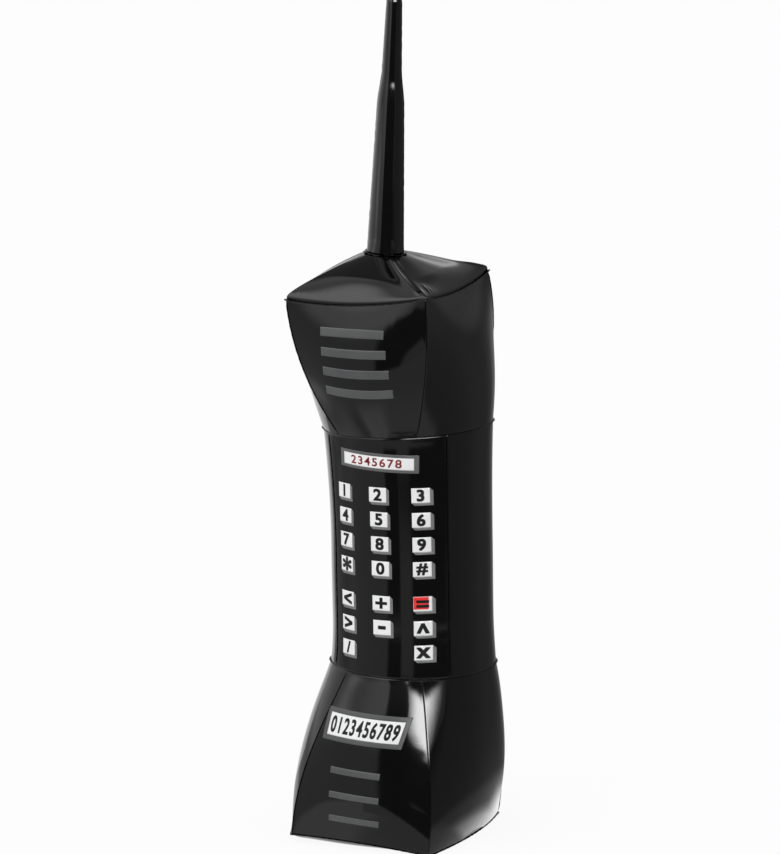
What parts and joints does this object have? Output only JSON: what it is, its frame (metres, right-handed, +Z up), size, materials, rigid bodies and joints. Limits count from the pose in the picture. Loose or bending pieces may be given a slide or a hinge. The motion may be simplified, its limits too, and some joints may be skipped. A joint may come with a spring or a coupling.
{
  "type": "inflatable novelty phone",
  "caption": "Inflatable novelty handset of welded film: square head and foot blocks, round keypad tier, stepped antenna, printed keys and grilles, plugged air valve on the back.",
  "frame": {"origin": "centre of the flat contact patch of the foot, on the surface it stands on", "axes": "+Z up along the antenna, -Y towards the keypad side, +Y towards the air valve, +X to the right of someone facing the keypad"},
  "size_m": [0.1725, 0.1883, 0.7614],
  "materials": {
    "black_film": "black soft vinyl film, glossy, slightly wrinkled at the welds",
    "black_weld": "black vinyl welded margin, glossy, with a rippled edge",
    "grey_ink": "dark grey ink printed on the film",
    "shadow_ink": "mid grey ink printed on the film, as a drop shadow",
    "white_ink": "white ink printed on the film",
    "red_ink": "red ink printed on the film",
    "valve_vinyl": "soft milky vinyl"
  },
  "bodies": {
    "phone": {"antenna_back_panel": "black_film", "antenna_flange": "black_weld", "antenna_front_panel": "black_film", "antenna_side_seams": "black_weld", "bottom_panel": "black_film", "display_frame": "grey_ink", "display_window": "white_ink", "earpiece_bars": "grey_ink", "foot_seam": "black_weld", "key_faces": "white_ink", "key_shadows": "shadow_ink", "keypad_back_panel": "black_film", "keypad_corner_seams": "black_weld", "keypad_front_panel": "black_film", "keypad_left_panel": "black_film", "keypad_right_panel": "black_film", "lower_back_panel": "black_film", "lower_corner_seams": "black_weld", "lower_front_panel": "black_film", "lower_left_panel": "black_film", "lower_right_panel": "black_film", "lower_waist_seam": "black_weld", "mouthpiece_bars": "grey_ink", "plate_field": "white_ink", "plate_frame": "grey_ink", "red_key_patch": "red_ink", "top_panel": "black_film", "top_seam": "black_weld", "upper_back_panel": "black_film", "upper_corner_seams": "black_weld", "upper_front_panel": "black_film", "upper_left_panel": "black_film", "upper_right_panel": "black_film", "upper_waist_seam": "black_weld", "valve_skirt": "valve_vinyl"},
    "stem": {"valve_stem": "valve_vinyl"},
    "plug": {"valve_plug": "valve_vinyl"},
    "flap": {"valve_flap": "valve_vinyl"}
  },
  "joints": [
    {"name": "valve_stem_slide", "type": "slide", "parent": "phone", "child": "stem", "axis": [0, 1, 0], "range_m": [0, 0.009]},
    {"name": "valve_plug_hinge", "type": "hinge", "parent": "stem", "child": "plug", "pos_m": [0.00839, 0.10005, 0.246], "axis": [-1, 0, 0], "range_deg": [0, 150]},
    {"name": "valve_flap_hinge", "type": "hinge", "parent": "stem", "child": "flap", "pos_m": [0.00839, 0.08695, 0.2658], "axis": [-1, 0, 0], "range_deg": [0, 45], "stiffness_Nm_per_rad": 0.0001, "springref_deg": -11.46}
  ]
}
